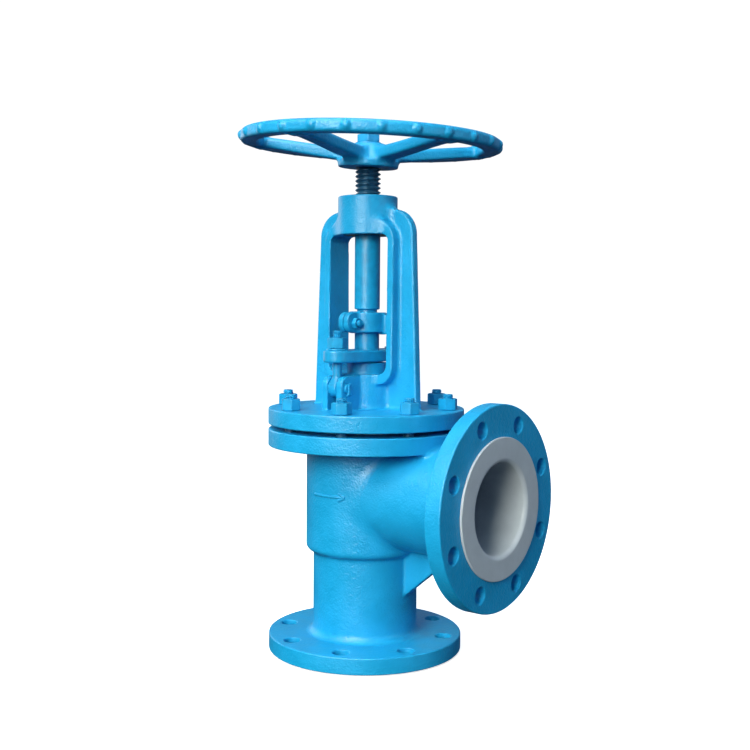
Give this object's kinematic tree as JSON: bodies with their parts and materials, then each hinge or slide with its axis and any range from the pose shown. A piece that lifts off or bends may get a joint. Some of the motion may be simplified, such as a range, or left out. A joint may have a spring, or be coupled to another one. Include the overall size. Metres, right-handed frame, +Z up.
{
  "type": "lined angle globe valve",
  "caption": "Flanged angle globe valve with a moulded lining, bolted yoke bonnet, packed stem and a rising handwheel.",
  "frame": {"origin": "centre of the whole valve's box, on the plane of the inlet flange's lining face", "axes": "+Z up along the stem, from the inlet to the handwheel; +X towards the outlet flange; the stem axis is at x = -0.0181, y = 0"},
  "size_m": [0.3197, 0.2902, 0.5765],
  "materials": {
    "cast_paint": "blue gloss enamel over sand-cast steel",
    "painted_steel": "blue gloss enamel over forged steel",
    "stem_paint": "turned steel under thin blue paint, dark in the thread",
    "lining": "moulded grey fluoroplastic with a waxy satin skin",
    "bronze": "machined bronze",
    "packing": "white moulded sealing rings"
  },
  "bodies": {
    "valve_body": {"body": "cast_paint", "body_liner": "lining", "bonnet": "cast_paint", "bonnet_liner": "lining", "cover_stud_1": "painted_steel", "cover_stud_2": "painted_steel", "cover_stud_3": "painted_steel", "cover_stud_4": "painted_steel", "cover_stud_5": "painted_steel", "cover_stud_6": "painted_steel", "cover_stud_7": "painted_steel", "cover_stud_8": "painted_steel", "cover_nut_1": "painted_steel", "cover_nut_2": "painted_steel", "cover_nut_3": "painted_steel", "cover_nut_4": "painted_steel", "cover_nut_5": "painted_steel", "cover_nut_6": "painted_steel", "cover_nut_7": "painted_steel", "cover_nut_8": "painted_steel", "stem_nut": "bronze", "stem_nut_screw": "painted_steel", "packing_base": "packing", "packing_ring_1": "packing", "packing_ring_2": "packing", "packing_ring_3": "packing", "packing_ring_4": "packing", "packing_top": "packing", "gland_bush": "painted_steel", "gland_flange": "painted_steel", "eyebolt_front": "painted_steel", "eyebolt_back": "painted_steel", "eyebolt_pin_front": "painted_steel", "eyebolt_pin_back": "painted_steel", "gland_washer_front": "painted_steel", "gland_washer_back": "painted_steel", "gland_nut_front": "painted_steel", "gland_nut_back": "painted_steel"},
    "stem": {"plug": "lining", "lower_stem": "stem_paint", "stem_clamp": "painted_steel", "clamp_bolt": "painted_steel", "clamp_nut": "painted_steel"},
    "wheel_and_spindle": {"spindle": "stem_paint", "handwheel": "cast_paint", "wheel_washer": "painted_steel", "wheel_nut": "painted_steel"}
  },
  "joints": [
    {"name": "stem_lift", "type": "slide", "parent": "valve_body", "child": "stem", "axis": [0, 0, 1], "range_m": [-0.016, 0.009]},
    {"name": "wheel_spin", "type": "hinge", "parent": "stem", "child": "wheel_and_spindle", "pos_m": [-0.01808, 0, 0.54], "axis": [0, 0, 1], "range_deg": [-1152, 648]}
  ],
  "couplings": [
    {"joint": "stem_lift", "follows": "wheel_spin", "m_per_rad": 0.00079577}
  ]
}
